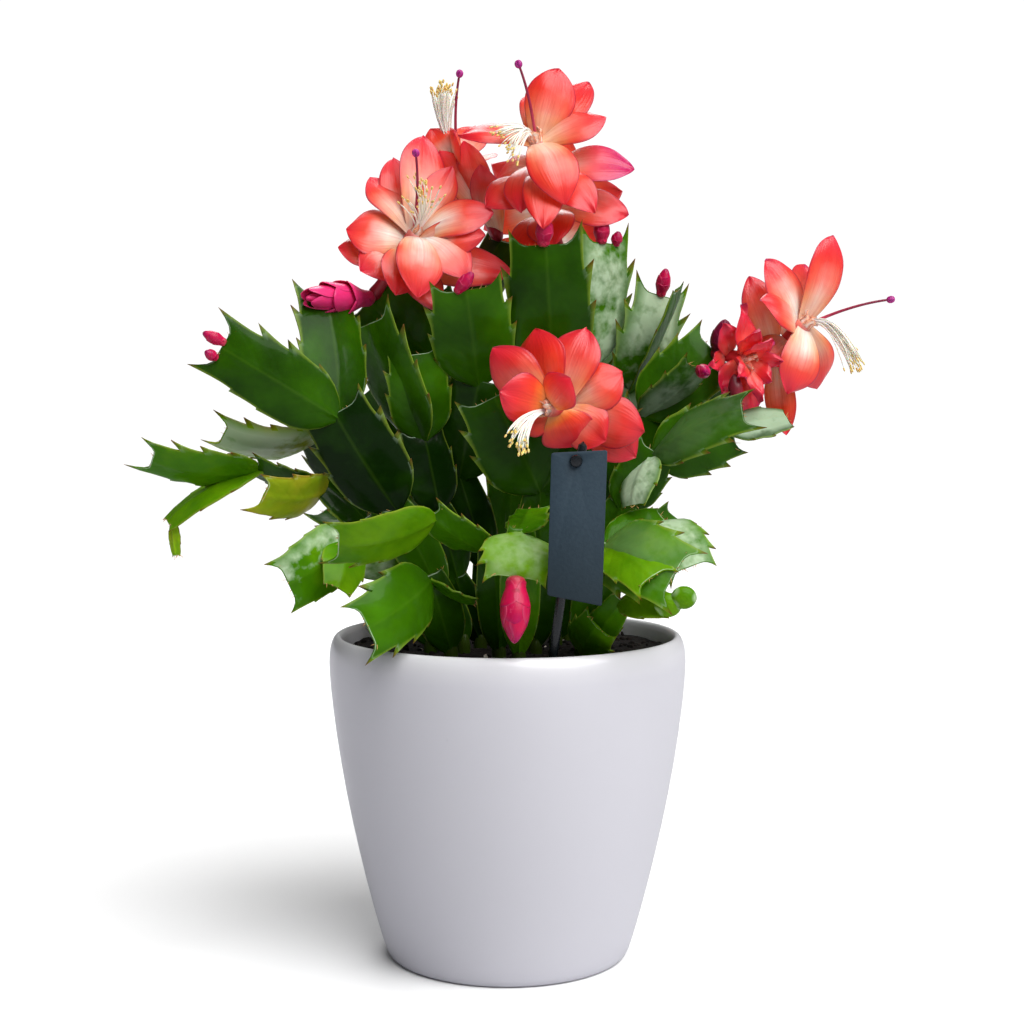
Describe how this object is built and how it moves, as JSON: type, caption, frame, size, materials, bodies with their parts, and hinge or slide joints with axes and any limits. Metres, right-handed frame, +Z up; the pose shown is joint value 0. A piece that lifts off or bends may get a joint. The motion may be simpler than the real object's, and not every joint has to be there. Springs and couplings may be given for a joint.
{
  "type": "potted christmas cactus",
  "caption": "Flowering christmas cactus with arching toothed stems, tiered red blooms and buds in a tapered round white pot, with a bare plant tag.",
  "frame": {"origin": "middle of the pot's flat foot, where it stands", "axes": "+Z up, +X to the right and -Y towards the front as pictured"},
  "size_m": [0.2709, 0.1825, 0.3251],
  "materials": {
    "pot_glaze": "smooth white satin glaze with a soft sheen",
    "peat": "moist black peat with pale specks",
    "stem_pads": "glossy waxy green with yellow-green margins and brownish tooth tips",
    "petals": "translucent coral red, near white at the base",
    "buds": "satin magenta",
    "stamens": "cream filaments with pale yellow anthers",
    "styles": "wine red with a magenta stigma",
    "tag_board": "matte dark slate card, bare",
    "stake_plastic": "glossy black"
  },
  "bodies": {
    "root": {"tag_stake": "stake_plastic", "tag": "tag_board", "stem_left_upper": "stem_pads", "stem_left_long": "stem_pads", "stem_front_left": "stem_pads", "stem_rim_left": "stem_pads", "stem_mid_left": "stem_pads", "stem_centre": "stem_pads", "stem_tall": "stem_pads", "stem_right_upper": "stem_pads", "stem_right_low": "stem_pads", "stem_front_right": "stem_pads", "stem_front": "stem_pads", "stem_mid_front": "stem_pads", "stem_back_left": "stem_pads", "stem_back": "stem_pads", "stem_back_right": "stem_pads", "bloom_left_style": "styles", "bloom_left_stamens": "stamens", "bloom_left_petals": "petals", "bloom_behind_style": "styles", "bloom_behind_stamens": "stamens", "bloom_behind_petals": "petals", "bloom_top_style": "styles", "bloom_top_stamens": "stamens", "bloom_top_petals": "petals", "bloom_right_style": "styles", "bloom_right_stamens": "stamens", "bloom_right_petals": "petals", "bloom_low_stamens": "stamens", "bloom_low_petals": "petals", "bloom_wilted_petals": "petals", "bloom_back_style": "styles", "bloom_back_stamens": "stamens", "bloom_back_petals": "petals", "bud_left_lower": "buds", "bud_left_lowest": "buds", "bud_half_open": "buds", "bud_top_left": "buds", "bud_tall": "buds", "bud_tall_right": "buds", "bud_tall_small": "buds", "bud_right": "buds", "bud_hanging": "buds", "bud_wine": "buds", "bud_side": "buds", "bud_back_left": "buds", "bud_back_right": "buds", "bud_back_low": "buds", "pot": "pot_glaze", "peat": "peat"}
  },
  "joints": []
}
